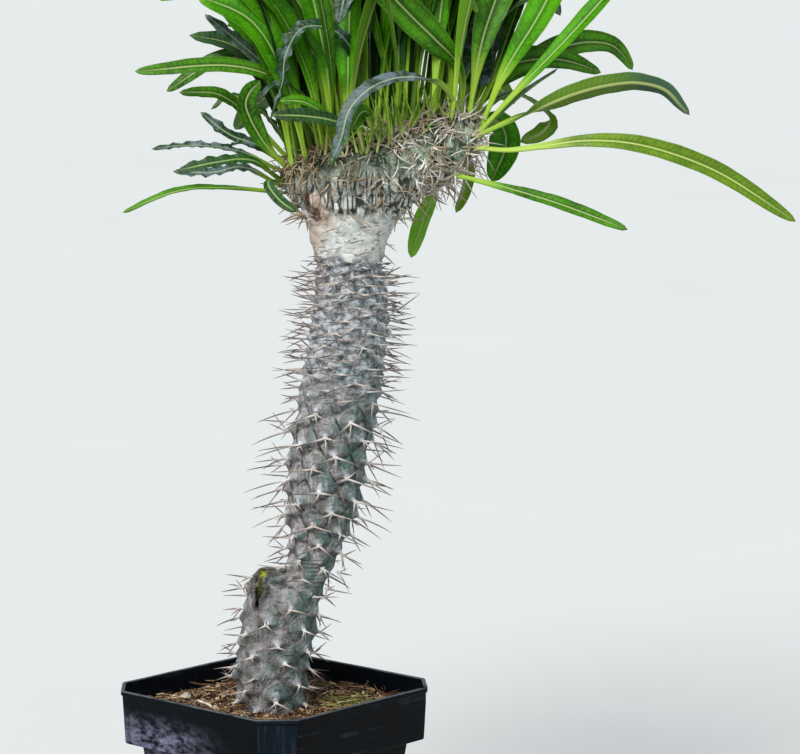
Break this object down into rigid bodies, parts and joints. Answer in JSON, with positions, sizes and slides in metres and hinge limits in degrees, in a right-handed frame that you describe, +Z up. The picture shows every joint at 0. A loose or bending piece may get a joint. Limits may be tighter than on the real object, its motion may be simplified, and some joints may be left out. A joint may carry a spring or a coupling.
{
  "type": "potted madagascar palm",
  "caption": "Spiny succulent with a leaning stem, a broad crest of long strap leaves and a square black nursery pot full of potting mix.",
  "frame": {"origin": "centre of the pot's flat base, on the surface that it stands on", "axes": "+Z up; the pot's cut corners point along X and Y; +X is the way that the crown leans; the front of the plant looks to -Y"},
  "size_m": [0.4068, 0.2408, 0.65],
  "materials": {
    "pot_plastic": "moulded black plastic, satin, scuffed and dusty",
    "potting_mix": "crumbled bark and peat, rough",
    "stem_skin": "grey-green waxy bark over spiral tubercles",
    "leaf_blade": "smooth green leaf with a pale midrib, satin",
    "bark": "broken bark, rough",
    "pumice": "porous stone, rough"
  },
  "bodies": {
    "root": {"bark_chip_back": "bark", "bark_chip_right": "bark", "leaf_back_left": "leaf_blade", "leaf_back_mid": "leaf_blade", "leaf_back_right": "leaf_blade", "leaf_curled_arch": "leaf_blade", "leaf_front_arch": "leaf_blade", "leaf_front_short": "leaf_blade", "leaf_hanging_left": "leaf_blade", "leaf_hanging_mid": "leaf_blade", "leaf_inner_bright": "leaf_blade", "leaf_inner_dark": "leaf_blade", "leaf_left_arch": "leaf_blade", "leaf_left_broad": "leaf_blade", "leaf_left_crinkled": "leaf_blade", "leaf_left_folded": "leaf_blade", "leaf_left_grey": "leaf_blade", "leaf_left_high": "leaf_blade", "leaf_left_hook": "leaf_blade", "leaf_left_long": "leaf_blade", "leaf_left_low": "leaf_blade", "leaf_left_mid": "leaf_blade", "leaf_left_ribbon": "leaf_blade", "leaf_left_rolled": "leaf_blade", "leaf_left_short": "leaf_blade", "leaf_left_tucked": "leaf_blade", "leaf_right_behind": "leaf_blade", "leaf_right_bright": "leaf_blade", "leaf_right_dark": "leaf_blade", "leaf_right_edge": "leaf_blade", "leaf_right_great": "leaf_blade", "leaf_right_grey": "leaf_blade", "leaf_right_hanging": "leaf_blade", "leaf_right_hook": "leaf_blade", "leaf_right_long": "leaf_blade", "leaf_right_low": "leaf_blade", "leaf_right_narrow": "leaf_blade", "leaf_right_slim": "leaf_blade", "leaf_small_blue": "leaf_blade", "leaf_top_bent": "leaf_blade", "leaf_top_blue": "leaf_blade", "leaf_top_dark": "leaf_blade", "leaf_top_left_bright": "leaf_blade", "leaf_top_left_wide": "leaf_blade", "leaf_up_a": "leaf_blade", "leaf_up_b": "leaf_blade", "leaf_up_c": "leaf_blade", "leaf_up_d": "leaf_blade", "leaf_up_e": "leaf_blade", "leaf_up_f": "leaf_blade", "leaf_up_g": "leaf_blade", "leaf_up_h": "leaf_blade", "leaf_up_i": "leaf_blade", "leaf_up_j": "leaf_blade", "leaf_up_k": "leaf_blade", "pot": "pot_plastic", "pumice_large": "pumice", "pumice_small": "pumice", "soil": "potting_mix", "stem": "stem_skin"}
  },
  "joints": []
}
